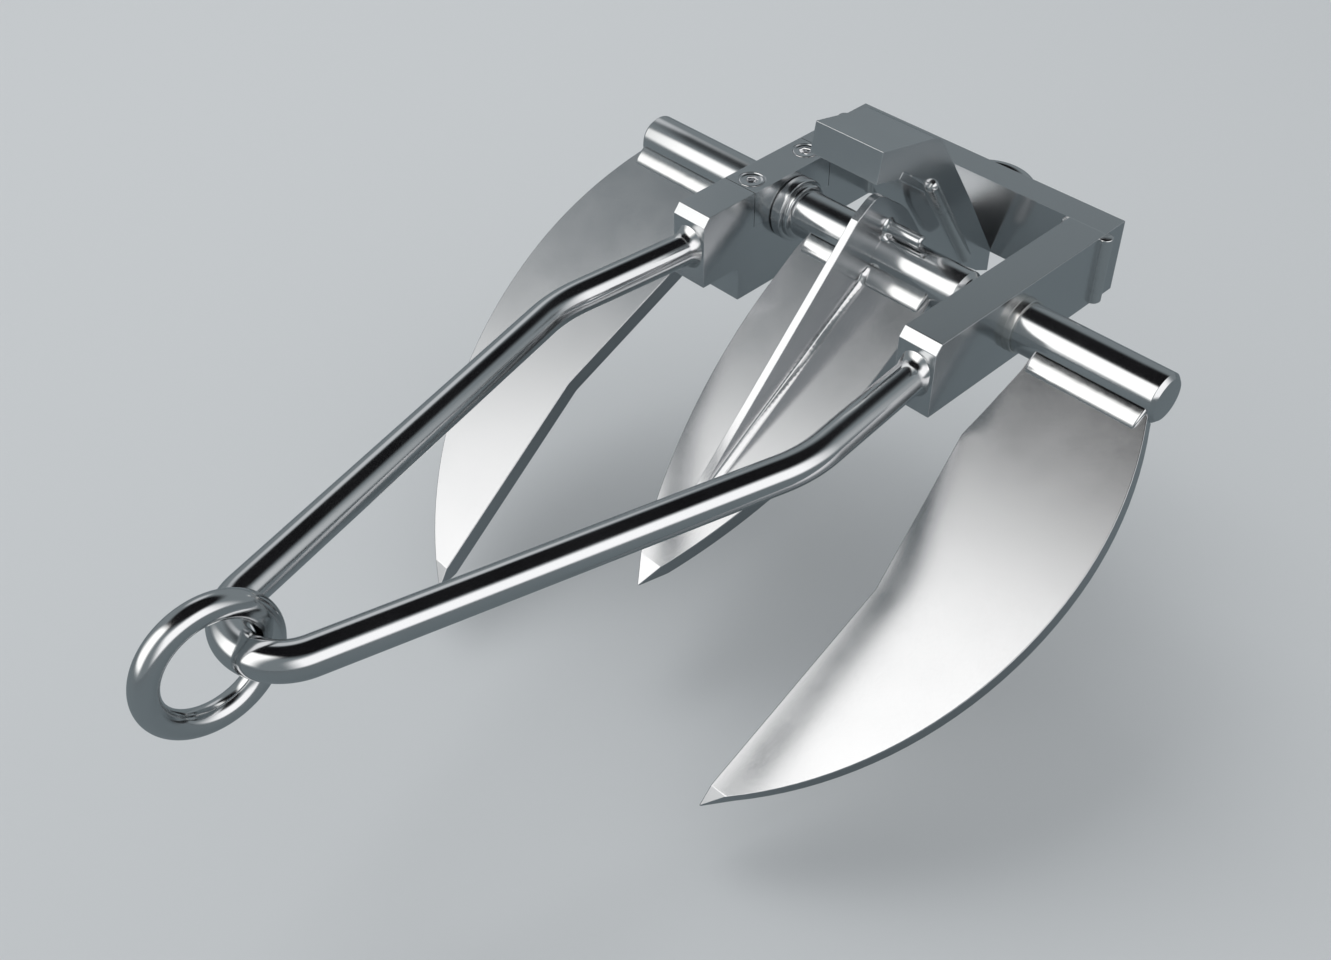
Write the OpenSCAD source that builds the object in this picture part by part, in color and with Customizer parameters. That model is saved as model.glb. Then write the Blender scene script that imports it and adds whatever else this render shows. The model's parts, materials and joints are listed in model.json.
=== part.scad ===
// Three-fluke stainless anchor with a hinged fluke shaft, a forked head,
// a bent-rod shank and a loose ring.
// X runs along the fluke shaft, +Y towards the crown, +Z up; left is -X and front is -Y.
// The origin is in the middle of the trip-line bow's opening, behind the crossbar.
// The pieces are drawn about the fluke shaft's axis, at the same height.

/* [Head frame] */
// Clear width between the two arms
arm_gap = 148.8; // [146:0.2:156]
// Width of each arm along the shaft
arm_w = 25.6; // [22:0.2:28]
// Height of the arms and the crossbar
frame_h = 48; // [46:1:50]
// Distance from the shaft axis to the front faces of the arms
arm_front = 78.2; // [74:0.2:84]
// Distance from the shaft axis to the crossbar
arm_back = 78; // [78:0.5:84]
// Thickness of the crossbar
crossbar_t = 20; // [14:1:26]
// Depth of the boss under the left arm
boss_h = 24; // [20:1:28]
// Width of the removable bearing cap
cap_w = 69.4; // [66:0.2:74]

/* [Fluke shaft] */
// Diameter of the fluke shaft
shaft_d = 30; // [29:0.5:31]
// Length of the fluke shaft
shaft_l = 393; // [390:1:400]
// Wall of the bearing bushes
bush_t = 1.45; // [1.2:0.05:2]

/* [Flukes] */
// Angle of the flukes below the shank
fluke_angle = 33.6; // [30:0.2:36]
// Thickness of the fluke plates
blade_t = 11.4; // [9:0.2:13]
// Length of the side flukes from the shaft axis
side_len = 325; // [315:1:335]
// Length of the middle fluke from the shaft axis
mid_len = 248.6; // [244:0.2:252]
// Half width of the middle fluke
mid_half = 49.5; // [47:0.5:52]

/* [Crown hook] */
// Width of the crown hook
hook_w = 48.6; // [40:0.2:56]
// Thickness of the hook's stop pad
pad_t = 6; // [4:0.5:8]

/* [Shank and ring] */
// Diameter of the shank rod
rod_d = 20; // [18:0.5:21]
// Radius of the loop at the shank's tip, on the rod's centre line
tip_r = 29; // [28:0.5:32]
// Distance from the shaft axis to the tip of the shank's centre line
tip_y = 451.2; // [440:0.2:460]
// Inside diameter of the ring
ring_id = 50; // [48:1:60]
// Wire diameter of the ring
ring_wire = 14; // [12:0.5:15]
// Wire diameter of the trip-line bow
bow_wire = 13; // [10:0.5:14]

/* [Hidden] */
$fn = 64;

arm_inner = arm_gap / 2;
arm_outer = arm_inner + arm_w;
crossbar_back = arm_back + crossbar_t;
origin_y = crossbar_back + 11;     // from the shaft axis back to the origin
half_h = frame_h / 2;
shaft_r = shaft_d / 2;
bore_r = shaft_r + 0.05;           // inside of the bushes
bush_r = bore_r + bush_t;          // outside of the bushes
rod_r = rod_d / 2;
half_blade = blade_t / 2;
over = 1;                          // how far a cutter runs past a face

steel = [0.78, 0.78, 0.79];
satin = [0.70, 0.70, 0.71];
screw_steel = [0.82, 0.82, 0.83];
bush_metal = [0.80, 0.79, 0.77];

// ---- helpers -------------------------------------------------------
function arc(centre, r, from, to, steps) =
    [for (i = [0:steps]) let (a = from + (to - from) * i / steps) centre + r * [cos(a), sin(a)]];
function shift(points, by) = [for (p = points) p + by];

// puts the shaft's axis at its place in front of the origin
module at_shaft() {
    translate([0, -origin_y, 0]) children();
}
// a +X piece and its mirror image
module both_sides() {
    for (s = [0, 1]) mirror([s, 0, 0]) children();
}
// extrudes a (y, z) outline along X from x0 to x1
module along_x(x0, x1) {
    translate([x0, 0, 0]) rotate([90, 0, 90]) linear_extrude(x1 - x0) children();
}
module x_cylinder(x0, x1, r) {
    translate([x0, 0, 0]) rotate([0, 90, 0]) cylinder(h = x1 - x0, r = r);
}
// revolves a (radius, x) outline about X
module x_revolve() {
    rotate([0, 90, 0]) rotate_extrude() children();
}
// frame with its X along the shaft, its Y down the flukes and its Z off the top face
module plate_frame() {
    rotate([180 + fluke_angle, 0, 0]) mirror([0, 0, 1]) children();
}

// ---- head frame ----------------------------------------------------
boss_half = 47.5;
screw_y = 24.5;                    // either side of the shaft
screw_x = -(arm_inner + arm_outer) / 2 + 0.3;
screw_r = 3.95;
screw_end = -35;
screw_tip_chamfer = 0.75;
screw_hole_r = 4;
sink_h = 4.7;                      // depth of the countersinks
sink_r = 8.8;
socket_h = 3.4;
weld_inset = 1.5;                  // corner welds stop short of the frame's top and bottom
bush_lip = 5;                      // bushes stand out of the arms

module at_screws() {
    for (s = [-1, 1]) translate([screw_x, s * screw_y, 0]) children();
}
// side outline; extra points go into the bottom edge, front to back
module arm_outline(bottom = []) {
    polygon(concat([[-arm_front, -half_h]], bottom,
        [[arm_back, -half_h], [arm_back, half_h],
         [-arm_front + 4.6, half_h], [-arm_front, half_h - 5.6]]));
}
module arm_left() {
    boss_z = -half_h - boss_h;
    color(steel) at_shaft() difference() {
        along_x(-arm_outer, -arm_inner) arm_outline([[-boss_half, -half_h],
            [-boss_half, boss_z], [boss_half, boss_z], [boss_half, -half_h]]);
        translate([-arm_outer - over, -cap_w / 2, 0]) cube([arm_w + 2 * over, cap_w, half_h + over]);
        x_cylinder(-arm_outer - over, -arm_inner + over, bush_r);
        at_screws() translate([0, 0, -38]) cylinder(h = 40, r = screw_hole_r);
    }
}
module arm_right() {
    color(steel) at_shaft() difference() {
        along_x(arm_inner, arm_outer) arm_outline();
        x_cylinder(arm_inner - over, arm_outer + over, bush_r);
    }
}
module crossbar() {
    color(steel) at_shaft() translate([-arm_outer, arm_back, -half_h])
        cube([2 * arm_outer, crossbar_t, frame_h]);
}
// upright bead at an arm's joint with the crossbar, kept where it is inside the box
module corner_bead(x, r, box_x, box_y) {
    intersection() {
        translate([x, arm_back, -half_h + weld_inset])
            cylinder(h = frame_h - 2 * weld_inset, r = r);
        translate([box_x, arm_back - 10, -half_h]) cube([10, box_y, frame_h]);
    }
}
module corner_welds() {
    color(steel) at_shaft() both_sides() {
        corner_bead(arm_outer, 5, arm_outer, 20);
        corner_bead(arm_inner, 4, arm_inner - 10, 10);
    }
}
module bearing_cap() {
    color(steel) at_shaft() difference() {
        translate([-arm_outer, -cap_w / 2 + 0.1, 0]) cube([arm_w, cap_w - 0.2, half_h]);
        x_cylinder(-arm_outer - over, -arm_inner + over, bush_r);
        at_screws() {
            translate([0, 0, -over]) cylinder(h = half_h, r = screw_hole_r + 0.2);
            translate([0, 0, half_h - sink_h]) cylinder(h = sink_h, r1 = 4.1, r2 = sink_r);
            translate([0, 0, half_h]) cylinder(h = over, r = sink_r);
        }
    }
}
// countersunk screws with a hexagon socket
module cap_screws() {
    color(screw_steel) at_shaft() at_screws() difference() {
        rotate_extrude() polygon([[0, screw_end], [screw_r - screw_tip_chamfer, screw_end],
            [screw_r, screw_end + screw_tip_chamfer], [screw_r, half_h - sink_h],
            [8.4, half_h - 0.25], [8.2, half_h], [0, half_h]]);
        translate([0, 0, half_h - socket_h]) cylinder(h = 4, r = 3.35, $fn = 6);
    }
}
module bush(x0, x1) {
    color(bush_metal) at_shaft() difference() {
        x_cylinder(x0, x1, bush_r);
        x_cylinder(x0 - over, x1 + over, bore_r);
    }
}
module bush_left() {
    bush(-arm_outer - bush_lip, -arm_inner);
}
module bush_right() {
    bush(arm_inner, arm_outer + bush_lip);
}

// ---- crown hook, outlines in (y, z) --------------------------------
hook_half = hook_w / 2;
pad_top = [-24.7, 71.4];
pad_bend = [-0.5, 53];
pad_foot = [48, -19.3];
pad_offset = pad_t * [0.8305, 0.557];   // square to the long face, into the hook
pad_outline = [pad_top, pad_bend, pad_foot, pad_foot + pad_offset,
    pad_bend + pad_offset + [-0.5, 0.75], [-21.8, 75.2]];
hook_outline = concat(
    [[-41.5, 95.5], [-45, 76.8], pad_top, pad_bend, pad_foot,
     [65.3, -32], [arm_back, -38], [arm_back, -22], [47, 28.5]],
    arc([-2.2, 66.9], 20, 33.35, 78.2, 10));

module hook_bar() {
    color(steel) at_shaft() difference() {
        along_x(-hook_half, hook_half) polygon(hook_outline);
        along_x(-hook_half - over, hook_half + over) polygon(pad_outline);
    }
}
// pad let into the hook's front face
module hook_pad() {
    color(steel) at_shaft() along_x(-hook_half, hook_half) polygon(pad_outline);
}
module hook_welds() {
    color(steel) at_shaft() {
        // down both ends of the pad
        both_sides() intersection() {
            translate([hook_half, 4.4, 57.6]) rotate([212.4, 0, 0]) cylinder(h = 88, r = 4.3);
            translate([hook_half, -100, -100]) cube([8, 200, 200]);
        }
        // under the crossbar
        along_x(-hook_half + 3, hook_half - 3)
            polygon(shift([[0, 0], [9, 0], [3, -4], [0, -10]], [arm_back, -half_h]));
    }
}

// ---- shank: foot, bend and straight leg on each side, joined by the tip loop ----
leg_angle = 15;                    // half angle of the straight legs
foot_angle = 5.4;                  // outward lean at the arms
foot_x = 87.2;
foot_extra = 12;                   // foot starts inside the arm, then is trimmed
bend_r = 90;
lap = 0.3;                         // overlap of a straight piece into its neighbour
curve_extra = 0.02;                // curved pieces are this much larger in radius
// where the legs' centre lines cross
apex_y = -(tip_y - tip_r + tip_r / sin(leg_angle));
// corner where the foot's and the leg's centre lines meet, bend_run in front of the arm
bend_run = ((-apex_y - arm_front) * tan(leg_angle) - foot_x) / (tan(foot_angle) + tan(leg_angle));
bend_x = foot_x + bend_run * tan(foot_angle);
bend_y = -arm_front - bend_run;
bend_tangent = bend_r * tan((leg_angle + foot_angle) / 2);
leg_len = norm([bend_x - tip_r * cos(leg_angle),
                bend_y + tip_y - tip_r + tip_r * sin(leg_angle)]) - bend_tangent;

module half_shank() {
    // foot
    translate([foot_x - foot_extra * tan(foot_angle), -arm_front + foot_extra, 0])
        rotate([90, 0, foot_angle])
        cylinder(h = (foot_extra + bend_run) / cos(foot_angle) - bend_tangent + lap, r = rod_r);
    // bend
    translate([bend_x - bend_tangent * sin(foot_angle) - bend_r * cos(foot_angle),
               bend_y + bend_tangent * cos(foot_angle) - bend_r * sin(foot_angle), 0])
        rotate([0, 0, -leg_angle]) rotate_extrude(angle = leg_angle + foot_angle, $fn = 72)
        translate([bend_r, 0]) circle(r = rod_r + curve_extra);
    // straight leg
    translate([bend_x - bend_tangent * sin(leg_angle), bend_y - bend_tangent * cos(leg_angle), 0])
        rotate([90, 0, -leg_angle]) translate([0, 0, -lap])
        cylinder(h = leg_len + 2 * lap, r = rod_r);
}
module shank() {
    $fn = 40;
    color(steel) at_shaft() difference() {
        union() {
            both_sides() half_shank();
            // tip loop
            translate([0, -tip_y + tip_r, 0]) rotate([0, 0, 180 + leg_angle])
                rotate_extrude(angle = 180 - 2 * leg_angle, $fn = 48)
                translate([tip_r, 0]) circle(r = rod_r + curve_extra);
        }
        // trims the feet at the arms' front faces
        translate([-150, -arm_front, -20]) cube([300, 40, 40]);
    }
}
module shank_welds() {
    color(steel) at_shaft() both_sides() difference() {
        translate([foot_x, -arm_front, 0]) rotate([90, 0, 0]) rotate_extrude()
            polygon([[0, 0], [13.4, 0], [12.9, 1.2], [11.9, 2.8], [11.3, 4.6], [11, 7], [0, 7]]);
        translate([foot_x + 2 * tan(foot_angle), -arm_front - 2, 0]) rotate([90, 0, foot_angle])
            translate([0, 0, -20]) cylinder(h = 60, r = rod_r);
    }
}
// upright ring, its bore just clear of the tip loop's inner side
module ring() {
    color(steel) at_shaft() translate([0, -tip_y + rod_r + 0.2 - ring_id / 2, 0])
        rotate([0, 90, 0]) rotate_extrude($fn = 96)
        translate([(ring_id + ring_wire) / 2, 0]) circle(r = ring_wire / 2);
}

// ---- trip-line bow -------------------------------------------------
bow_r = 24;                        // on the wire's centre line
bow_leg = 5;                       // straight part at the crossbar
bow_wire_r = bow_wire / 2;

module trip_bow() {
    color(steel) at_shaft() translate([0, crossbar_back + bow_leg, 0]) {
        rotate_extrude(angle = 180, $fn = 96) translate([bow_r, 0]) circle(r = bow_wire_r);
        both_sides() translate([bow_r, 0, 0]) rotate([90, 0, 0])
            cylinder(h = bow_leg, r = bow_wire_r);
    }
}
module trip_welds() {
    color(steel) at_shaft() both_sides() translate([bow_r, crossbar_back, 0])
        rotate([-90, 0, 0]) rotate_extrude()
        polygon(shift([[0, 0], [3.5, 0], [1.6, 1.4], [0, 3.6]], [bow_wire_r, 0]));
}

// ---- fluke shaft ---------------------------------------------------
shaft_chamfer = 2.5;
neck_r = shaft_r - 2.5;            // neck beside the right arm
neck_end = arm_inner - 0.6;
// (off the shaft, along X from the left arm's inner face)
collar_profile = [[0, 0.15], [4.8, 0.15], [5.3, 0.65], [5.3, 7.4], [4.1, 8.4],
    [2.6, 8.8], [2.6, 10.8], [2, 12], [0, 12.6]];

module fluke_shaft() {
    end = shaft_l / 2;
    color(steel) at_shaft() x_revolve() polygon([
        [0, -end], [shaft_r - shaft_chamfer, -end], [shaft_r, -end + shaft_chamfer],
        [shaft_r, arm_inner - 12.9], [neck_r, arm_inner - 10],
        [neck_r, neck_end], [shaft_r, neck_end],
        [shaft_r, end - shaft_chamfer], [shaft_r - shaft_chamfer, end], [0, end]]);
}
module shaft_collar() {
    color(steel) at_shaft() x_revolve() polygon(shift(collar_profile, [shaft_r, -arm_inner]));
}

// ---- flukes, outlines in (x, down the plate from the shaft axis) ----
side_wide = [218, 112.8];          // widest point of a side fluke
side_front_r = 262.5;              // outer edge, towards the tip
side_back_r = 220;                 // outer edge, towards the shaft
side_grind = 14.5;                 // length of the ground points
mid_grind = 17.6;
side_outline = concat([[120.3, 8], [120, 25], [114, 73], [127, 171.5], [115.2, side_len]],
    arc(side_wide - [side_front_r, 0], side_front_r,
        asin((side_len - side_grind - side_wide[1]) / side_front_r), 0, 22),
    arc(side_wide - [side_back_r, 0], side_back_r, -2.5, -26, 10),
    [[192.4, 8]]);

mid_edge_r = 422;
mid_edge_y = 50;                   // where the curved edge starts
mid_arc = arc([mid_half - mid_edge_r, mid_edge_y], mid_edge_r,
    0, asin((mid_len - mid_edge_y) / mid_edge_r), 24);
// +X edge from root to tip, without arc points too close to the tip
mid_edge = concat([[47, 8], [mid_half, 24]], [for (p = mid_arc) if (p[0] > 0.8) p]);
mid_outline = concat([for (p = mid_edge) [-p[0], p[1]]], [[0, mid_len]],
    [for (i = [len(mid_edge) - 1:-1:0]) mid_edge[i]]);

module blade(outline, length, tip_x, grind) {
    color(satin) difference() {
        plate_frame() difference() {
            translate([0, 0, -half_blade]) linear_extrude(blade_t) polygon(outline);
            // chisel point, ground from both faces
            for (s = [0, 1]) mirror([0, 0, s]) translate([tip_x, length - grind, half_blade])
                rotate([-atan(half_blade / grind), 0, 0])
                translate([-30, 0, 0]) cube([60, 40, 20]);
        }
        x_cylinder(-300, 300, shaft_r);
    }
}
module fluke_right() {
    at_shaft() blade(side_outline, side_len, 118, side_grind);
}
module fluke_left() {
    at_shaft() mirror([1, 0, 0]) blade(side_outline, side_len, 118, side_grind);
}
module fluke_middle() {
    at_shaft() blade(mid_outline, mid_len, 0, mid_grind);
}

// fillet between shaft and plate: (down the plate, off its face)
root_profile = [[10.5, 0], [23.8, 0], [23.6, 0.9], [22.2, 1.8], [19.5, 2.5], [16, 2.9],
    [12.45, 2.7], [10.5, 2]];
module root_bead(x0, x1) {
    difference() {
        for (s = [0, 1]) plate_frame() mirror([0, 0, s])
            along_x(x0, x1) polygon(shift(root_profile, [0, half_blade]));
        x_cylinder(x0 - over, x1 + over, shaft_r);
    }
}
module fluke_welds() {
    color(steel) at_shaft() both_sides() {
        root_bead(121, 193.5);
        root_bead(rib_half, 46.5);
    }
}

// ---- rib on the middle fluke ---------------------------------------
rib_half = 2.7;                    // half the rib's thickness
pin_y = -1.2;
pin_z = shaft_r + 5.9;
pin_r = 4;
pin_end = 28.5;
pin_chamfer = 1.2;
// (y, z), up the top edge and round the shaft
rib_outline = [[-182, -123], [-180, -115.6], [-151, -86], [-116.3, -51.3], [-75.4, -9.8],
    [-58.6, 7.4], [-42.3, 24.3], [-30.5, 37], [-24, 41.2], [-18.8, 44.2], [-15.5, 45.4],
    [-12, 45.5], [-8.5, 44.3], [-4.9, 41.9], [-0.6, 38.3], [8.7, 31.5], [16.3, 24.2],
    [24.6, 12], [33.1, -1.6], [35.3, -6.3], [33.7, -13.3], [25.7, -18.6], [10, -19],
    [0, -8], [0, 4], [-12, -2]];

module rib() {
    color(satin) at_shaft() difference() {
        along_x(-rib_half, rib_half) polygon(rib_outline);
        x_cylinder(-5, 5, shaft_r);
        plate_frame() translate([-5, 0, half_blade - 30]) cube([10, 260, 30]);
    }
}
module rib_welds() {
    color(steel) at_shaft() for (s = [0, 1]) mirror([s, 0, 0]) {
        // along the plate
        plate_frame() translate([rib_half, 24, half_blade]) rotate([-90, 0, 0])
            linear_extrude(160) polygon([[0, 0], [0, -3.8], [1.4, -3.2], [3.2, -1.4], [3.8, 0]]);
        // round the shaft, cut away in front and below, and for the pin on +X
        difference() {
            x_revolve() polygon(shift([[0, 0], [3.4, 0], [2.6, 1.4], [1.2, 2.8], [0, 3.6]],
                [shaft_r, rib_half]));
            translate([rib_half - over, -30, -30]) cube([7, 30, 38]);
            translate([rib_half - over, -1, -30]) cube([7, 31, 22]);
            if (s == 0) translate([0, pin_y, pin_z]) x_cylinder(0, 30, pin_r + 0.1);
        }
    }
}
module rib_pin() {
    color(steel) at_shaft() translate([0, pin_y, pin_z]) x_revolve()
        polygon([[0, rib_half], [pin_r, rib_half], [pin_r, pin_end - pin_chamfer],
            [pin_r - pin_chamfer, pin_end], [0, pin_end]]);
}

arm_left();
arm_right();
crossbar();
corner_welds();
bearing_cap();
cap_screws();
bush_left();
bush_right();
hook_bar();
hook_pad();
hook_welds();
shank();
shank_welds();
trip_bow();
trip_welds();
fluke_shaft();
shaft_collar();
fluke_left();
fluke_right();
fluke_middle();
fluke_welds();
rib();
rib_welds();
rib_pin();
ring();
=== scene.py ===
"""A steel anchor with hinged flukes, a crown hook, a ring and a trip-line bow.

The fluke shaft lies along X. The shank runs from the arms towards -Y (front) and ends in the
ring, the bow stands on the crossbar at +Y (back), and +Z is up. The flukes slope forwards and
down from the shaft. Lengths are in millimetres about the middle of the shaft unless noted.
"""
import json
import math
import bmesh
import bpy
from mathutils import Matrix, Vector


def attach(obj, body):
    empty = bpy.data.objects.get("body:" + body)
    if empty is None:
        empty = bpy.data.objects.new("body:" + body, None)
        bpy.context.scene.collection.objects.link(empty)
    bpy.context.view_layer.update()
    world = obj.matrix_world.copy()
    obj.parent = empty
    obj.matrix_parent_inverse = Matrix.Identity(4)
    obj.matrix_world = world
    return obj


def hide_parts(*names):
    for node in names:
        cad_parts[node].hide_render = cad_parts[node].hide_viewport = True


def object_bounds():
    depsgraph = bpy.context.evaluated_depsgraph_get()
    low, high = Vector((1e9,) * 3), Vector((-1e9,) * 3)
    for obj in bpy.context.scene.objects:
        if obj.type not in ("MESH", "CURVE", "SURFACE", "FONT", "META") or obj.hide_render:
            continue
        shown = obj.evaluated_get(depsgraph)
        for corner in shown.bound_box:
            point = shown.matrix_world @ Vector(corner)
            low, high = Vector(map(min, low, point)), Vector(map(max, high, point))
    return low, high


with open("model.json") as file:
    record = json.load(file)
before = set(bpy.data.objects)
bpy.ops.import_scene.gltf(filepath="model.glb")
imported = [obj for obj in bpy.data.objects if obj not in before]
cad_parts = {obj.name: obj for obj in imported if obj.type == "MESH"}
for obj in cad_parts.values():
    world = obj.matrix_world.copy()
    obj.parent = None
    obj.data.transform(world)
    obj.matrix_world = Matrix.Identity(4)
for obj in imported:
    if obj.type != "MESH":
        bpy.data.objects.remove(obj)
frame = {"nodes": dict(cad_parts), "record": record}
bounds_at_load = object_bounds()
NODES = frame["nodes"]
JOINTS = {joint["name"]: joint for joint in frame["record"]["behaviour"]["joints"]}
BODY = {name: body for body, names in frame["record"]["behaviour"]["bodies"].items()
        for name in names}
HINGE = Vector(JOINTS["fluke_hinge"]["pos_m"])      # middle of the fluke shaft's axis
TIP = Vector(JOINTS["ring_swing"]["pos_m"])         # shank's tip, on the rod's centre line

# ---------------------------------------------------------------- driving sizes
MM = 0.001
ARM_IN, ARM_OUT = 74.4, 100.0       # an arm's inner and outer faces, along x
ARM_MID = (ARM_IN + ARM_OUT) / 2
ARM_HALF_Z = 24.0                   # half an arm's height, also the crossbar's
ARM_FRONT = -78.2                   # y of the arms' front faces
BAR_FRONT, BAR_BACK = 78, 98        # y of the crossbar's front and back faces
CAP_HALF = 34.7                     # half the bearing cap's slot in the left arm, along y
SEAM_GAP = 0.5
HOOK_SIDE = 24.3                    # x of the line of the beads beside the hook
SHAFT_R, SHAFT_HALF = 15.0, 196.5
FLUKE_SLOPE = 33.6                  # degrees below level
FLUKE_HALF = 5.7                    # half the fluke plates' thickness
RIB_HALF = 2.7                      # half the rib's thickness
ROD_R = 10.0                        # shank rod
LEG, FOOT = math.radians(15), math.radians(5.4)     # lean of the shank's legs and feet
TIP_R, BEND_R = 29, 90              # centre-line radii of the shank's bends
TIP_CENTRE = -451.2 + TIP_R         # y of the tip bend's centre
RING_R, RING_ROD_R = 32, 7
BOW_R, BOW_ROD_R = 24, 6.5
BOW_CENTRE = 103                    # y of the bow's bend centre

SLOPE_SIN = math.sin(math.radians(FLUKE_SLOPE))
SLOPE_COS = math.cos(math.radians(FLUKE_SLOPE))


def mm(x, y, z):
    """A place in millimetres about the fluke shaft's middle, as metres in the row frame."""
    return HINGE + Vector((x, y, z)) * MM


def plate(x, down, off):
    """A place on the flukes: down the plate from the shaft's axis, off its middle plane."""
    return mm(x, -down * SLOPE_COS - off * SLOPE_SIN, -down * SLOPE_SIN + off * SLOPE_COS)


# ---------------------------------------------------------------- shader helpers
def add(tree, kind, inputs, output=0, **settings):
    """Adds a node, links or sets its inputs, and returns one of its output sockets."""
    made = tree.nodes.new(kind)
    for name, value in settings.items():
        setattr(made, name, value)
    for socket, value in inputs.items():
        if isinstance(value, bpy.types.NodeSocket):
            tree.links.new(value, made.inputs[socket])
        else:
            made.inputs[socket].default_value = value
    return made.outputs[output]


def mix_colours(tree, factor, first, second):
    """Mixes two colours; sockets 0, 6 and 7 are the factor and the colours, output 2 the mix."""
    return add(tree, "ShaderNodeMix", {6: first, 7: second, 0: factor}, output=2,
               data_type="RGBA")


# ---------------------------------------------------------------- steels
def steel(name, base, rough, grain_axis, grain_amount, grain_freq, bump,
          rough_var=0.03, cloud=0.05, grain_tilt=0.0, lump=0.0):
    """Steel with cloudy colour, rubbed patches, a grain along one axis, fine pits, worn edges
    that are smoother and painted brighter as a highlight, and for weld metal a slow unevenness."""
    material = bpy.data.materials.new(name)
    material.use_nodes = True
    tree = material.node_tree
    tree.nodes.clear()
    place = add(tree, "ShaderNodeTexCoord", {}, output="Object")

    def noise(vector, **values):
        return add(tree, "ShaderNodeTexNoise", {"Vector": vector, **values}, output="Fac")

    clouds = noise(place, Scale=22.0, Detail=4.0, Roughness=0.55)
    stretch = [grain_freq] * 3
    stretch["XYZ".index(grain_axis)] = grain_freq * 0.02
    grain_place = add(tree, "ShaderNodeMapping", {
        "Vector": place, "Scale": stretch, "Rotation": (math.radians(grain_tilt), 0, 0)})
    grain = noise(grain_place, Scale=1.0, Detail=2.0)
    pits = noise(place, Scale=900.0, Detail=2.0)

    # edges, worn smoother and painted lighter as a highlight: where the rounded normal leaves
    # the true one
    rounded = add(tree, "ShaderNodeBevel", {"Radius": 0.0011}, samples=4)
    true = add(tree, "ShaderNodeNewGeometry", {}, output="Normal")
    likeness = add(tree, "ShaderNodeVectorMath", {0: rounded, 1: true}, output="Value",
                   operation="DOT_PRODUCT")
    edge_wear_and_highlight = add(tree, "ShaderNodeMapRange", {
        "Value": likeness, "From Min": 0.995, "From Max": 0.86, "To Min": 0.0, "To Max": 0.5})

    dark = [c * (1 - cloud) for c in base]
    light = [min(1.0, c * (1 + cloud)) for c in base]
    colour = mix_colours(tree, clouds, (*dark, 1), (*light, 1))
    # the edges' lighter colour is a painted highlight, besides the wear
    colour = mix_colours(tree, edge_wear_and_highlight, colour, (0.93, 0.93, 0.94, 1))

    # roughness: clouds, plus the grain, less 0.08 of the wear
    rubbed = add(tree, "ShaderNodeMapRange", {
        "Value": clouds, "From Min": 0.3, "From Max": 0.7,
        "To Min": rough - rough_var, "To Max": rough + rough_var})
    grained = add(tree, "ShaderNodeMath", {0: grain, 1: grain_amount, 2: rubbed},
                  operation="MULTIPLY_ADD")
    smoothing = add(tree, "ShaderNodeMath", {0: edge_wear_and_highlight, 1: 0.08}, operation="MULTIPLY")
    roughness = add(tree, "ShaderNodeMath", {0: grained, 1: smoothing},
                    operation="SUBTRACT", use_clamp=True)

    # relief: the grain plus 0.35 of the pits
    relief = add(tree, "ShaderNodeMath", {0: pits, 1: 0.35, 2: grain},
                 operation="MULTIPLY_ADD")
    normal = add(tree, "ShaderNodeBump", {"Height": relief, "Strength": bump,
                                          "Distance": 0.00004})
    if lump:
        lumps = noise(place, Scale=160.0, Detail=1.0)
        normal = add(tree, "ShaderNodeBump", {"Height": lumps, "Normal": normal,
                                              "Strength": lump, "Distance": 0.0006})
    surface = add(tree, "ShaderNodeBsdfPrincipled", {
        "Metallic": 1.0, "Base Color": colour, "Roughness": roughness, "Normal": normal})
    add_output = tree.nodes.new("ShaderNodeOutputMaterial")
    tree.links.new(surface, add_output.inputs["Surface"])
    return material


PLATE_STEEL = steel("polished_plate_steel", (0.70, 0.71, 0.72), rough=0.15, bump=0.10,
                    grain_axis="Y", grain_amount=0.05, grain_freq=1500.0)
ROD_STEEL = steel("polished_rod_steel", (0.74, 0.745, 0.75), rough=0.10, bump=0.08,
                  grain_axis="Z", grain_amount=0.05, grain_freq=1800.0)
TURNED_STEEL = steel("turned_steel", (0.73, 0.735, 0.74), rough=0.12, bump=0.12,
                     grain_axis="Y", grain_amount=0.06, grain_freq=1600.0)
SATIN_STEEL = steel("satin_plate_steel", (0.70, 0.70, 0.71), rough=0.15, bump=0.05,
                    grain_axis="Y", grain_amount=0.07, grain_freq=1100.0,
                    grain_tilt=-FLUKE_SLOPE)
WELD_STEEL = steel("weld_bead_steel", (0.76, 0.76, 0.76), rough=0.14, bump=0.12,
                   grain_axis="X", grain_amount=0.05, grain_freq=900.0,
                   rough_var=0.04, cloud=0.07, lump=0.12)
BUSH_STEEL = steel("bush_steel", (0.71, 0.70, 0.68), rough=0.17, bump=0.15,
                   grain_axis="Y", grain_amount=0.07, grain_freq=2000.0)
# near black steel for the faces inside the cap's seams: painted shade in the gap
SEAM_SHADE_STEEL = steel("cut_face_steel", (0.10, 0.10, 0.10), rough=0.55, bump=0.2,
                  grain_axis="Z", grain_amount=0.05, grain_freq=900.0, rough_var=0.05)
SCREW_STEEL = steel("screw_steel_bright", (0.80, 0.80, 0.81), rough=0.11, bump=0.10,
                    grain_axis="Z", grain_amount=0.04, grain_freq=1800.0)

SLOT = {"polished_plate": PLATE_STEEL, "polished_rod": ROD_STEEL, "satin_plate": SATIN_STEEL,
        "weld_bead": WELD_STEEL, "bush_metal": BUSH_STEEL, "screw_steel": SCREW_STEEL}
for name, piece in NODES.items():
    for subpart in frame["record"]["subparts"]:
        if subpart["node"] == name:
            piece.data.materials.clear()
            piece.data.materials.append(SLOT[subpart["material_slot"]])


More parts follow.
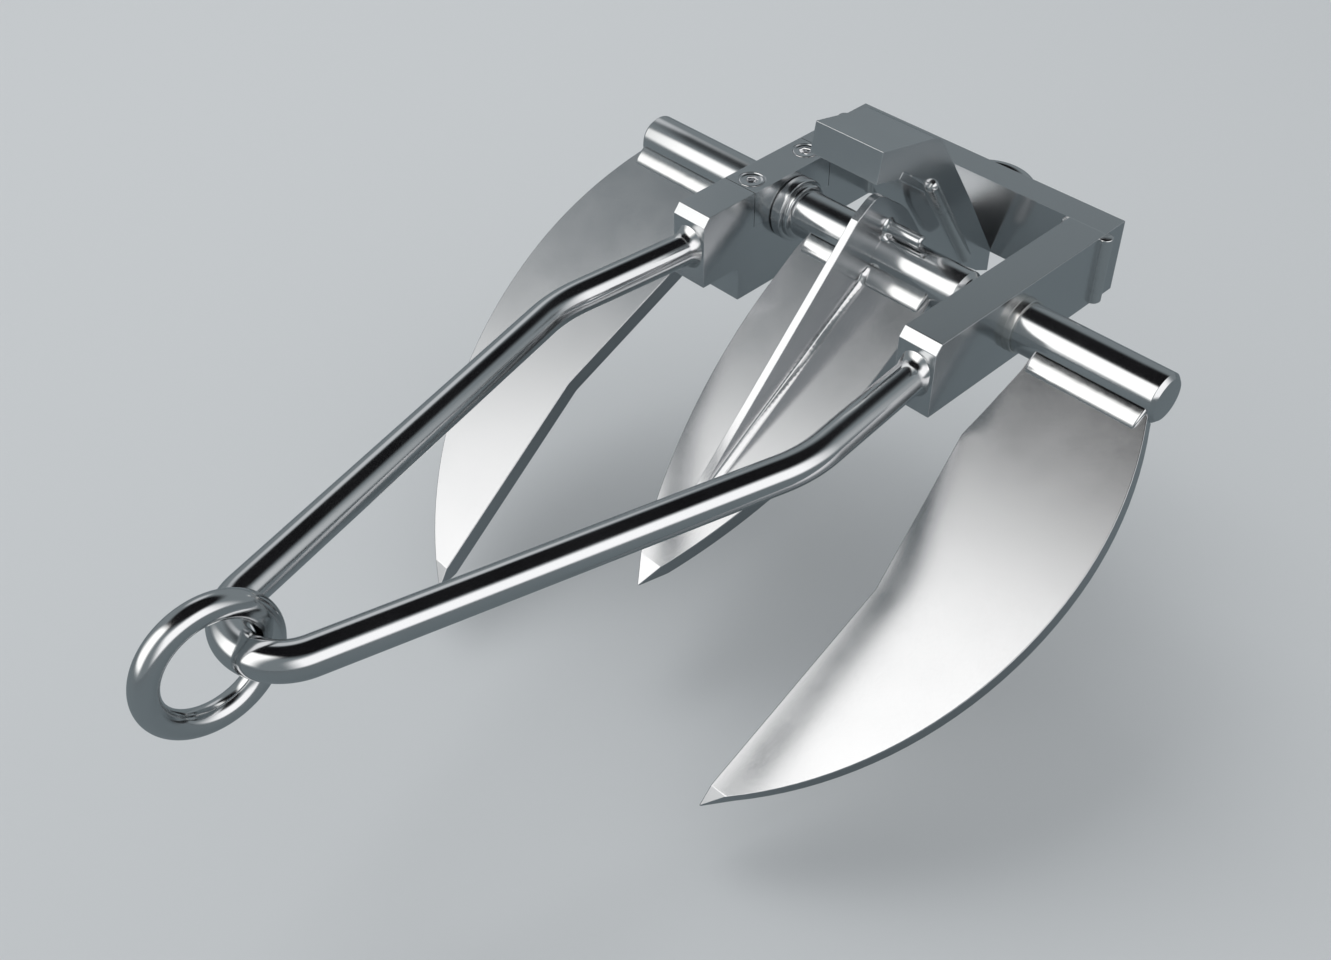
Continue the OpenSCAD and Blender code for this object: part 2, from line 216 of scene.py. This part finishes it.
# ---------------------------------------------------------------- mesh makers
BEVEL_FROM = math.radians(18.0)     # edges sharper than this are broken


def show(name, data):
    """Links a new object to the scene."""
    made = bpy.data.objects.new(name, data)
    bpy.context.scene.collection.objects.link(made)
    return made


def to_data(name, mesh):
    data = bpy.data.meshes.new(name)
    mesh.to_mesh(data)
    mesh.free()
    return data


def finish(name, mesh, cad, slot, material=None, sharp=32.0, bevel=0.0, segments=3,
           flush=None, cut=None):
    """Turns a bmesh into a shown piece that stands for one CAD node.

    Edges over sharp degrees stay hard. Edges whose ends are both flush are not bevelled, and
    faces across y whose corners all lie in the seam get a near black steel, painted shade in the
    gap.
    """
    bmesh.ops.remove_doubles(mesh, verts=mesh.verts, dist=1e-7)
    bmesh.ops.recalc_face_normals(mesh, faces=mesh.faces)
    for face in mesh.faces:
        face.smooth = True
    for edge in mesh.edges:
        edge.smooth = not (len(edge.link_faces) == 2
                           and edge.calc_face_angle(0.0) > math.radians(sharp))
    if bevel:
        weight = mesh.edges.layers.float.new("bevel_weight_edge")
        for edge in mesh.edges:
            if (len(edge.link_faces) == 2 and edge.calc_face_angle(0.0) > BEVEL_FROM
                    and not (flush and all(flush(v.co) for v in edge.verts))):
                edge[weight] = 1.0
    # the faces in the seam get the near black steel: painted shade
    if cut:
        mesh.normal_update()
        for face in mesh.faces:
            if abs(face.normal.y) > 0.99 and all(cut(v.co) for v in face.verts):
                face.material_index = 1
    data = to_data(name, mesh)
    data.materials.append(material or SLOT[slot])
    if cut:
        data.materials.append(SEAM_SHADE_STEEL)
    shown = show(name, data)
    if bevel:
        edges = shown.modifiers.new("edges", "BEVEL")
        edges.width = bevel * MM
        edges.segments = segments
        edges.limit_method = "WEIGHT"
        edges.harden_normals = False
        edges.use_clamp_overlap = True
        edges.miter_outer = "MITER_ARC"
        flats = shown.modifiers.new("flat_faces", "WEIGHTED_NORMAL")
        flats.mode = "FACE_AREA"
        flats.weight = 100
        flats.keep_sharp = True
    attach(shown, BODY[cad])
    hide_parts(cad)


def refine(cad, slot, bevel, reshape=None, **finishing):
    """The CAD node's own surface with its flats merged and its edges softly broken."""
    mesh = bmesh.new()
    mesh.from_mesh(NODES[cad].data)
    bmesh.ops.remove_doubles(mesh, verts=mesh.verts, dist=2e-6)
    if reshape:
        for vert in mesh.verts:
            reshape(vert.co)
    bmesh.ops.dissolve_limit(mesh, angle_limit=math.radians(0.6), verts=mesh.verts,
                             edges=mesh.edges, delimit={"NORMAL"})
    finish(cad + "_finished", mesh, cad, slot, sharp=13.0, bevel=bevel, **finishing)


def join_rings(mesh, rings, caps=False):
    """Skins a row of rings of vertices; a ring of one vertex is a pole."""
    for near, far in zip(rings, rings[1:]):
        count = max(len(near), len(far))
        for k in range(count):
            k2 = (k + 1) % count
            if len(near) == 1:
                mesh.faces.new((near[0], far[k], far[k2]))
            elif len(far) == 1:
                mesh.faces.new((near[k], near[k2], far[0]))
            else:
                mesh.faces.new((near[k], near[k2], far[k2], far[k]))
    if caps:
        mesh.faces.new(rings[0])
        mesh.faces.new(list(reversed(rings[-1])))


def sweep(mesh, path, radius, segments, side, closed=False):
    """Sweeps a circle along a flat path in metres. side is the path plane's normal."""
    last = len(path) - 1
    rings = []
    for i, point in enumerate(path):
        before = path[i - 1] if closed or i > 0 else point
        after = path[(i + 1) % len(path)] if closed or i < last else point
        across = side.cross((after - before).normalized()).normalized()
        turns = [2 * math.pi * k / segments for k in range(segments)]
        rings.append([mesh.verts.new(
            point + (across * math.cos(turn) + side * math.sin(turn)) * radius)
            for turn in turns])
    join_rings(mesh, rings + rings[:1] if closed else rings, caps=not closed)
    return rings


def lathe(mesh, profile, place, segments, wobble=None):
    """Turns a profile of (along, radius); place(along, across, up) gives the point.
    wobble(along, angle) is added to the radius."""
    rings = []
    for along, radius in profile:
        if radius <= 1e-6:
            rings.append([mesh.verts.new(place(along, 0, 0))])
            continue
        ring = []
        for k in range(segments):
            turn = 2 * math.pi * k / segments
            reach = radius + (wobble(along, turn) if wobble else 0.0)
            ring.append(mesh.verts.new(
                place(along, reach * math.cos(turn), reach * math.sin(turn))))
        rings.append(ring)
    join_rings(mesh, rings)


def eased(profile, reach):
    """Rounds the corners of a profile of (along, radius), from reach before each corner."""
    steps = 3
    points = [profile[0]]
    for before, corner, after in zip(profile, profile[1:], profile[2:]):
        before, corner, after = Vector(before), Vector(corner), Vector(after)
        back, on = before - corner, after - corner
        if (back.length < 1e-9 or on.length < 1e-9
                or back.angle(on) > math.radians(172)):
            points.append(tuple(corner))
            continue
        trim = min(reach, back.length * 0.45, on.length * 0.45)
        start = corner + back.normalized() * trim
        end = corner + on.normalized() * trim
        for k in range(steps + 1):
            t = k / steps
            points.append(tuple(start * (1 - t) ** 2 + corner * 2 * t * (1 - t)
                                + end * t ** 2))
    points.append(profile[-1])
    return points


def arc_section(radius, steps, span=math.pi):
    """An arc of a circle from its top, as (u, v) points."""
    return [(radius * math.sin(span * i / steps), radius * math.cos(span * i / steps))
            for i in range(steps + 1)]


def bead(mesh, section, start, end, place, base, ends, ripple=0.0, pitch=1.0, phase=0.0,
         step=0.55, least=0.25):
    """A weld bead from start to end.

    section is the (u, v) outline, which shrinks towards base over the two lengths in ends,
    down to the part least. place(along, u, v) gives the point.
    """
    count = max(8, int((end - start) / step))
    base_u, base_v = base
    rings = []
    for i in range(count + 1):
        x = start + (end - start) * i / count
        size = 1.0
        for distance, taper in ((x - start, ends[0]), (end - x, ends[1])):
            if distance < taper:
                size = min(size, math.sqrt(max(0.0, 1 - (1 - distance / taper) ** 2)))
        size = least + (1 - least) * size
        wave = (ripple * (0.5 + 0.5 * math.sin(2 * math.pi * (x + phase) / pitch))
                * (0.7 + 0.3 * math.sin(x * 0.7 + phase)))
        size *= 1 - wave * 0.06
        rings.append([mesh.verts.new(
            place(x, base_u + (u - base_u) * size, base_v + (v - base_v) * size))
            for u, v in section])
    join_rings(mesh, rings, caps=True)


# ---------------------------------------------------------------- plates
def local_y(co):
    return (co.y - HINGE.y) / MM


def on_crossbar(co):
    return abs(local_y(co) - BAR_FRONT) < 0.02


def on_fluke(co):
    offset = (co - HINGE) / MM
    return abs(offset.z * SLOPE_COS - offset.y * SLOPE_SIN - FLUKE_HALF) < 0.05


def in_seam(co):
    return abs(abs(local_y(co)) - CAP_HALF) < 0.6


def beside_cap(co):
    return on_crossbar(co) or in_seam(co)


def open_seam(co):
    """Draws the cap's ends in, so its seams show as a hairline."""
    y = local_y(co)
    if abs(abs(y) - CAP_HALF) < 0.2:
        co.y = mm(0, math.copysign(CAP_HALF - SEAM_GAP, y), 0).y


refine("arm_left", "polished_plate", 0.35, flush=beside_cap, cut=in_seam)
refine("arm_right", "polished_plate", 0.35, flush=on_crossbar)
refine("crossbar", "polished_plate", 0.35, flush=on_crossbar)
refine("bearing_cap", "polished_plate", 0.18, segments=2, flush=beside_cap,
       reshape=open_seam, cut=in_seam)
refine("hook_bar", "polished_plate", 0.3)
refine("hook_pad", "polished_plate", 0.4)
for fluke in ("fluke_left", "fluke_right", "fluke_middle"):
    refine(fluke, "satin_plate", 0.55)
refine("rib", "satin_plate", 0.35, flush=on_fluke)


# ---------------------------------------------------------------- bent rods
def shank_half():
    """The centre line of the shank's +X half in (x, y), from the foot to the tip bend."""
    apex = TIP_CENTRE - TIP_R / math.sin(LEG)       # y where the two legs' lines cross
    drop = (((-apex + ARM_FRONT) * math.tan(LEG) - ARM_MID)
            / (math.tan(FOOT) + math.tan(LEG)))     # from the foot to the bend's corner
    corner = Vector((ARM_MID + drop * math.tan(FOOT), ARM_FRONT - drop))
    heading = Vector((math.sin(FOOT), -math.cos(FOOT)))
    foot = Vector((ARM_MID, ARM_FRONT))
    bend = corner - heading * (BEND_R * math.tan((LEG + FOOT) / 2))
    points = [foot.lerp(bend, i / 8) for i in range(9)]
    centre = Vector((bend.x - BEND_R * math.cos(FOOT), bend.y - BEND_R * math.sin(FOOT)))
    for i in range(1, 33):
        turn = FOOT - (LEG + FOOT) * i / 32
        points.append(centre + Vector((math.cos(turn), math.sin(turn))) * BEND_R)
    leg_start = points[-1]
    leg_end = Vector((TIP_R * math.cos(LEG), TIP_CENTRE - TIP_R * math.sin(LEG)))
    return points + [leg_start.lerp(leg_end, i / 24) for i in range(1, 25)]


def make_shank():
    half = shank_half()
    tip_steps = 72
    turns = [-LEG - (math.pi - 2 * LEG) * i / tip_steps for i in range(1, tip_steps)]
    path = [mm(p.x, p.y, 0) for p in half]
    path += [mm(TIP_R * math.cos(turn), TIP_CENTRE + TIP_R * math.sin(turn), 0)
             for turn in turns]
    path += [mm(-p.x, p.y, 0) for p in reversed(half)]
    mesh = bmesh.new()
    rings = sweep(mesh, path, ROD_R * MM, 96, Vector((0, 0, 1)))
    for ring in (rings[0], rings[-1]):      # the ends lie flat on the arms' front faces
        for vert in ring:
            vert.co.y = mm(0, ARM_FRONT, 0).y
    finish("shank_rod", mesh, "shank", "polished_rod")


def make_ring():
    """The ring hangs in the shank's tip bend, 0.2 mm clear of the rod."""
    steps = 192
    centre = Vector((0, TIP.y + (ROD_R + 0.2 - (RING_R - RING_ROD_R)) * MM, TIP.z))
    turns = [2 * math.pi * i / steps for i in range(steps)]
    path = [centre + Vector((0, math.cos(turn), math.sin(turn))) * RING_R * MM
            for turn in turns]
    mesh = bmesh.new()
    sweep(mesh, path, RING_ROD_R * MM, 72, Vector((1, 0, 0)), closed=True)
    finish("round_ring", mesh, "ring", "polished_rod")


def make_bow():
    turns = [math.pi * i / 96 for i in range(97)]
    bend = [mm(BOW_R * math.cos(turn), BOW_CENTRE + BOW_R * math.sin(turn), 0)
            for turn in turns]
    path = [mm(BOW_R, BAR_BACK, 0)] + bend + [mm(-BOW_R, BAR_BACK, 0)]
    mesh = bmesh.new()
    sweep(mesh, path, BOW_ROD_R * MM, 72, Vector((0, 0, 1)))
    finish("trip_line_bow", mesh, "trip_bow", "polished_rod")


make_shank()
make_ring()
make_bow()


# ---------------------------------------------------------------- turned parts
TURNED_SHARP = 38       # degrees; edges sharper than this stay hard

# the collar by the left arm: (along from the arm's inner face, height off the shaft)
COLLAR = [
    (0.15, 0), (0.15, 3.5), (0.7, 3.5), (0.8, 4.9), (1.2, 5.3), (7.4, 5.3), (8.1, 4.6),
    (8.25, 1.9), (8.8, 1.8), (8.95, 2.5), (9.6, 3.0), (10.9, 2.9), (11.9, 2.1),
    (12.45, 0.8), (12.6, 0)]


def make_shaft():
    """The shaft has chamfered ends and a groove inside the right arm."""
    low = SHAFT_R - 2.5     # radius in the groove and at the ends
    profile = eased([
        (-SHAFT_HALF, 0), (-SHAFT_HALF, low), (-SHAFT_HALF + 2.5, SHAFT_R),
        (ARM_IN - 12.9, SHAFT_R), (ARM_IN - 10, low), (ARM_IN - 0.6, low),
        (ARM_IN - 0.6, SHAFT_R), (SHAFT_HALF - 2.5, SHAFT_R), (SHAFT_HALF, low),
        (SHAFT_HALF, 0)], 0.35)
    divided = []            # long spans are cut up, so smooth shading stays even
    for (x, r), (x2, r2) in zip(profile, profile[1:]):
        divided.append((x, r))
        if abs(x2 - x) > 20:
            divided += [(x + (x2 - x) * k / 8, r + (r2 - r) * k / 8) for k in range(1, 8)]
    divided.append(profile[-1])
    mesh = bmesh.new()
    lathe(mesh, divided, mm, 128)
    finish("shaft_bar", mesh, "fluke_shaft", "polished_rod", material=TURNED_STEEL,
           sharp=TURNED_SHARP)


def make_collar():
    profile = [(-ARM_IN + along, SHAFT_R + height) for along, height in COLLAR]
    mesh = bmesh.new()
    lathe(mesh, eased(profile, 0.3) + profile[:1], mm, 128)
    finish("stepped_collar", mesh, "shaft_collar", "polished_rod", material=TURNED_STEEL,
           sharp=TURNED_SHARP)


def make_bush(cad, side):
    """A bush through one arm, standing 5 mm out of its outer face."""
    outer, bore = 16.5, SHAFT_R + 0.05
    near, far = side * ARM_IN, side * (ARM_OUT + 5)
    seam = (near, bore + 0.6)       # the outline starts and ends on the inner end face
    outline = [seam, (near, outer), (far, outer), (far, bore), (near, bore), seam]
    mesh = bmesh.new()
    lathe(mesh, eased(outline, 0.3), mm, 128)
    finish(cad + "_turned", mesh, cad, "bush_metal", sharp=TURNED_SHARP)


def make_pin():
    """The small pin beside the rib, flared where it meets it and resting on the shaft."""
    flare_r = 5.9
    profile = [(RIB_HALF, 0), (RIB_HALF, flare_r), (3.1, 5.3), (3.8, 4.7), (4.8, 4.25),
               (6.2, 4.0), (27.3, 4), (28.5, 2.8), (28.5, 0)]
    mesh = bmesh.new()
    lathe(mesh, eased(profile, 0.3),
          lambda x, y, z: mm(x, -1.2 + y, SHAFT_R + flare_r + z), 64)
    finish("small_pin", mesh, "rib_pin", "polished_rod", material=TURNED_STEEL,
           sharp=TURNED_SHARP)


make_shaft()
make_collar()
make_bush("bush_left", -1)
make_bush("bush_right", 1)
make_pin()


# ---------------------------------------------------------------- cap screws
SCREW_X, SCREW_Y = -ARM_MID + 0.3, 24.5
SCREW_TURNS = ((-1, 0.35), (1, 0.9))        # side along y, turn in radians
SCREW_FOOT = [(0, -35), (2.9, -35), (3.95, -34.25)]         # (radius, z)
SCREW_HEAD = [                              # (radius, depth below the arm's top)
    (3.95, 5.6), (7.1, 2.3), (7.6, 1.6), (7.85, 1.1), (7.95, 0.7), (7.92, 0.42),
    (7.75, 0.18), (7.45, 0.03), (7.1, 0), (6.75, 0.06), (6.4, 0.2), (5.4, 0.26)]
SCREW_SOCKET = [                            # (hexagon's size, depth), ending in a point
    (4.0, 0.24), (3.75, 0.32), (3.4, 0.75), (3.35, 3.3), (3.2, 3.4), (0, 3.9)]


def hexagon_radius(angle, flat):
    """A hexagon's reach at an angle, where flat is its reach to a side's middle."""
    return flat / math.cos(math.radians((math.degrees(angle) + 30) % 60 - 30))


def make_screws():
    """Two countersunk screws with hexagon sockets, in the bearing cap."""
    steps = 96
    levels = [(radius, z, False) for radius, z in SCREW_FOOT]
    levels += [(radius, ARM_HALF_Z - depth, False) for radius, depth in SCREW_HEAD]
    levels += [(size, ARM_HALF_Z - depth, True) for size, depth in SCREW_SOCKET]
    mesh = bmesh.new()
    for side, turn in SCREW_TURNS:
        rings = []
        for radius, z, is_hexagon in levels:
            ring = []
            for k in range(steps if radius else 1):
                angle = 2 * math.pi * k / steps
                reach = hexagon_radius(angle, radius * 0.968) if is_hexagon else radius
                ring.append(mesh.verts.new(mm(
                    SCREW_X + reach * math.cos(angle + turn),
                    side * SCREW_Y + reach * math.sin(angle + turn), z)))
            rings.append(ring)
        join_rings(mesh, rings)
    finish("countersunk_screws", mesh, "cap_screws", "screw_steel", sharp=30)


make_screws()


# ---------------------------------------------------------------- weld beads
# the root bead under the crossbar, in (y, z)
ROOT_SECTION = [(78, -24), (87, -24), (86.6, -24.8), (84.5, -26), (81.8, -28.4),
                (79.6, -31.4), (78.5, -33.6), (78, -34)]
# shaft to fluke: (down the plate from the shaft's axis, height off the plate's face)
FLUKE_SECTION = [
    (10.0, -0.8), (24.6, -0.8), (24.5, 0.15), (23.9, 0.6), (23.2, 1.1), (22.3, 1.65),
    (21.1, 2.15), (19.5, 2.55), (17.6, 2.85), (15.5, 2.95), (13.6, 2.9), (12.2, 2.9),
    (10.4, 2.0)]
FLUKE_RUNS = [                              # start x, end x, lengths of the two tapers
    (121, 193.5, (1.8, 1.8)), (-193.5, -121, (1.8, 1.8)),
    (RIB_HALF, 46.5, (0, 1.8)), (-46.5, -RIB_HALF, (1.8, 0))]
# rib to fluke: (off the rib's middle, height off the plate's face)
RIB_SECTION = [(2.6, -0.3), (6.5, -0.3), (6.45, 0.25), (5.8, 1.2), (4.9, 2.1), (4.1, 3.0),
               (3.4, 3.6), (2.6, 3.85)]
# rib to shaft: (off the rib's middle, radius from the shaft's axis)
LOBE_SECTION = [(2.6, 14.8), (2.6, 18.3), (3.2, 18.0), (3.9, 17.5), (4.6, 16.8),
                (5.3, 16.0), (6.0, 15.35), (6.3, 14.8)]


def finish_weld(name, mesh, cad):
    finish(name, mesh, cad, "weld_bead", sharp=60)


def make_corner_welds():
    """Upright beads where the arms meet the crossbar: half round outside, quarter inside."""
    mesh = bmesh.new()
    for side in (-1, 1):
        for x0, radius, out, span, closing in (
                (ARM_OUT, 5.0, 1, math.pi, []),
                (ARM_IN, 4.0, -1, math.pi / 2, [(0, BAR_FRONT)])):
            section = [(out * u, BAR_FRONT - v) for u, v in arc_section(radius, 20, span)]
            bead(mesh, section + closing, -ARM_HALF_Z + 1.5, ARM_HALF_Z - 1.5,
                 lambda z, u, v: mm(side * (x0 + u), v, z), base=(0, BAR_FRONT),
                 ends=(0.9, 0.9), ripple=0.12, pitch=5.0, step=0.3,
                 phase=side * 1.3 + x0, least=0.72)
    finish_weld("corner_weld_beads", mesh, "corner_welds")


def make_hook_welds():
    """Long and thin beads beside the crown hook, and the root bead under the crossbar."""
    mesh = bmesh.new()
    # section, length, start (y, z), heading (y, z), taper, ripple, pitch
    for section, length, (y0, z0), (head_y, head_z), taper, ripple, pitch in (
            (arc_section(4.3, 20), 88, (4.4, 57.6), (0.5358, -0.8443), 4.2, 0.4, 2.8),
            (arc_section(0.5, 8), 18, (-15, 70), (0.778, -0.628), 0.5, 0.1, 1.6)):
        for side in (-1, 1):
            bead(mesh, section, 0, length,
                 lambda along, u, v: mm(side * (HOOK_SIDE + u),
                                        y0 + head_y * along - head_z * v,
                                        z0 + head_z * along + head_y * v),
                 base=(0, 0), ends=(taper, taper), ripple=ripple, pitch=pitch, phase=side)
    bead(mesh, ROOT_SECTION, -HOOK_SIDE + 3, HOOK_SIDE - 3, mm, base=ROOT_SECTION[0],
         ends=(3.0, 3.0), ripple=0.9, pitch=3.0)
    finish_weld("hook_weld_beads", mesh, "hook_welds")


def make_shank_welds():
    """Flared beads round the shank's feet, fuller above and below the rod than beside it."""
    length = 6.6

    def flare(along):
        return 4.3 * (1 - min(along, length) / length) ** 2

    def wobble(along, turn):
        waves = 0.03 * math.sin(turn * 9 + 1.0) if 0.5 < along < 5 else 0
        return -0.75 * flare(along) * math.cos(turn) ** 2 + waves

    stations = (0.0, 0.3, 0.7, 1.2, 1.8, 2.5, 3.3, 4.2, 5.2, 6.0, length)
    profile = [(0.0, 9.0)] + [(along, ROD_R + 0.08 + flare(along)) for along in stations]
    profile.append((6.8, 9.6))
    mesh = bmesh.new()
    for side in (-1, 1):
        lathe(mesh, profile,
              lambda along, across, z: mm(side * (ARM_MID + across + along * math.tan(FOOT)),
                                          ARM_FRONT - along, z),
              96, wobble)
    finish_weld("foot_weld_rings", mesh, "shank_welds")


def make_bow_welds():
    """Beads round the bow's feet."""
    profile = [(0.0, 5.8), (0.0, 9.95), (0.3, 9.9), (0.8, 9.0), (1.4, 8.2), (2.4, 7.35),
               (3.3, 6.75), (3.6, 5.9)]
    mesh = bmesh.new()
    for side in (-1, 1):
        lathe(mesh, profile,
              lambda along, across, z: mm(side * BOW_R + across, BAR_BACK + along, z), 72,
              lambda along, turn: 0.06 * math.sin(turn * 11) if 0.2 < along < 3 else 0)
    finish_weld("bow_weld_rings", mesh, "trip_welds")


def make_fluke_welds():
    """Fillets between the shaft and the flukes, on both faces."""
    mesh = bmesh.new()
    for face in (1, -1):
        section = [(u, (FLUKE_HALF + v) * face) for u, v in FLUKE_SECTION]
        for start, end, ends in FLUKE_RUNS:
            bead(mesh, section, start, end, plate, base=(14.0, (FLUKE_HALF + 0.2) * face),
                 ends=ends)
    finish_weld("fluke_weld_fillets", mesh, "fluke_welds")


def rib_rise(down):
    """The rib fillet starts up on the root bead and comes down on to the plate."""
    t = max(0.0, min(1.0, (25.5 - down) / 6))
    return 2.7 * t ** 2 * (3 - 2 * t)


def lobe_fillet(mesh, side):
    """A fillet beside the rib, round the underside, back and top of the shaft."""
    start, end = math.radians(-148), math.radians(118)
    steps, taper = 60, 4
    base_x, base_r = RIB_HALF, 14.9
    rings = []
    for i in range(steps + 1):
        turn = start + (end - start) * i / steps
        inset = min(i, steps - i)
        size = 1.0 if inset >= taper else math.sqrt(1 - (1 - inset / taper) ** 2)
        size = (0.2 + 0.8 * size) * (1 - 0.03 * (1 + math.sin(i * 1.9)))
        ring = []
        for x, radius in LOBE_SECTION:
            reach = base_r + (radius - base_r) * size
            ring.append(mesh.verts.new(mm(side * (base_x + (x - base_x) * size),
                                          reach * math.cos(turn), reach * math.sin(turn))))
        rings.append(ring)
    join_rings(mesh, rings, caps=True)


def make_rib_welds():
    """Fillets beside the rib and round its lobe on the shaft."""
    section = [(u, FLUKE_HALF + v) for u, v in RIB_SECTION]
    mesh = bmesh.new()
    for side in (-1, 1):
        bead(mesh, section, 13.5, 190,
             lambda down, u, v: plate(side * u, down, v + rib_rise(down)),
             base=(RIB_HALF, FLUKE_HALF), ends=(16.0, 34.0), ripple=0.25, pitch=3.4,
             phase=side * 0.8)
        lobe_fillet(mesh, side)
    finish_weld("rib_weld_fillets", mesh, "rib_welds")


make_corner_welds()
make_hook_welds()
make_shank_welds()
make_bow_welds()
make_fluke_welds()
make_rib_welds()

# ---------------------------------------------------------------- floor, in metres
# at the hinge's limit the side flukes' tips drop by 36 mm, so the floor is clear of them
FLOOR_Z = bounds_at_load[0][2] - 0.037
FLOOR_HALF = 9.0


def make_floor():
    """A pale floor, painted a darker colour where the steel reflects it: a painted reflection.
    """
    mesh = bmesh.new()
    mesh.faces.new([mesh.verts.new((x * FLOOR_HALF, y * FLOOR_HALF, FLOOR_Z))
                    for x, y in ((-1, -1), (1, -1), (1, 1), (-1, 1))])
    floor = show("floor", to_data("floor", mesh))
    material = bpy.data.materials.new("pale_floor")
    material.use_nodes = True
    tree = material.node_tree
    surface = tree.nodes["Principled BSDF"]
    surface.inputs["Roughness"].default_value = 0.8
    surface.inputs["Specular IOR Level"].default_value = 0.15
    # glossy rays see a darker floor colour: a painted reflection
    reflected = add(tree, "ShaderNodeLightPath", {}, output="Is Glossy Ray")
    colour = mix_colours(tree, reflected, (0.66, 0.68, 0.69, 1), (0.20, 0.235, 0.25, 1))
    tree.links.new(colour, surface.inputs["Base Color"])
    floor.data.materials.append(material)


make_floor()

# ---------------------------------------------------------------- studio light
world = bpy.data.worlds.new("studio")
bpy.context.scene.world = world
world.use_nodes = True
sky_tree = world.node_tree
background = sky_tree.nodes["Background"]
direction = add(sky_tree, "ShaderNodeTexCoord", {}, output="Generated")
direction_parts = add(sky_tree, "ShaderNodeSeparateXYZ", {0: direction}).node.outputs


def zone(centre, inner, outer):
    """A mask that is 1 within inner degrees of a direction and fades to 0 at outer."""
    cosine = add(sky_tree, "ShaderNodeVectorMath",
                 {0: direction, 1: Vector(centre).normalized()}, output="Value",
                 operation="DOT_PRODUCT")
    angle = add(sky_tree, "ShaderNodeMath", {0: cosine}, operation="ARCCOSINE")
    return add(sky_tree, "ShaderNodeMapRange", {
        "Value": angle, "From Min": math.radians(outer), "From Max": math.radians(inner)},
        interpolation_type="SMOOTHSTEP")


def ramp(axis, dark, lit):
    """A mask going smoothly from 0 to 1 as a direction's part goes from dark to lit."""
    falling = lit < dark
    return add(sky_tree, "ShaderNodeMapRange", {
        "Value": direction_parts[axis], "From Min": min(dark, lit),
        "From Max": max(dark, lit), "To Min": 1.0 if falling else 0.0,
        "To Max": 0.0 if falling else 1.0}, interpolation_type="SMOOTHSTEP")


def overlap(first, *others):
    for other in others:
        first = add(sky_tree, "ShaderNodeMath", {0: first, 1: other}, operation="MULTIPLY")
    return first


# what the steel reflects: a grey sky, a dark ceiling and three soft boxes
ceiling = zone((-0.05, 0.2, 0.975), inner=30, outer=47)
sky = mix_colours(sky_tree, ceiling, (0.215, 0.245, 0.26, 1), (0.006, 0.006, 0.007, 1))
left_box = zone((-0.76, 0.38, 0.53), inner=6, outer=17)
sky = mix_colours(sky_tree, left_box, sky, (0.62, 0.64, 0.66, 1))
right_box = overlap(ramp("X", 0.42, 0.72), ramp("Z", -0.02, 0.16), ramp("Z", 0.86, 0.66),
                    ramp("Y", 0.92, 0.30), ramp("Y", -0.75, -0.35))
sky = mix_colours(sky_tree, right_box, sky, (1.25, 1.25, 1.26, 1))
front_left_box = overlap(ramp("Y", -0.28, -0.46), ramp("Z", 0.02, 0.24),
                         ramp("X", -0.98, -0.55), ramp("X", 0.25, -0.05))
sky = mix_colours(sky_tree, front_left_box, sky, (1.50, 1.50, 1.48, 1))
# every other ray sees an even soft light
reflected = add(sky_tree, "ShaderNodeLightPath", {}, output="Is Glossy Ray")
sky = mix_colours(sky_tree, reflected, (0.62, 0.635, 0.65, 1), sky)
sky_tree.links.new(sky, background.inputs["Color"])
background.inputs["Strength"].default_value = 1.0

# a square lamp above and to the left, which the steel doesn't reflect
key = bpy.data.lights.new("key", "AREA")
key.shape = "RECTANGLE"
key.size = key.size_y = 1.6
key.energy = 16
lamp = show("key", key)
lamp.location = Vector((-1.1, -0.2, 2.2))
aim = Vector((0, -0.25, FLOOR_Z)) - lamp.location
lamp.rotation_euler = aim.to_track_quat("-Z", "Y").to_euler()
lamp.visible_glossy = False

# ---------------------------------------------------------------- camera, in metres
lens = bpy.data.cameras.new("camera")
lens.sensor_width = 36
lens.sensor_fit = "HORIZONTAL"
lens.lens = 42.018978
lens.clip_start = 0.01
camera = show("camera", lens)
right = Vector((0.6952794, 0.7186989, -0.0076406))
up = Vector((-0.4770060, 0.4693621, 0.7430778))
forward = Vector((-0.5376354, 0.5130021, -0.6691615))
pose = Matrix((right, up, -forward)).transposed().to_4x4()
pose.translation = HINGE + Vector((0.47588, -0.63693, 0.52438))
camera.matrix_world = pose
bpy.context.scene.camera = camera
bpy.context.scene.view_settings.view_transform = "Standard"
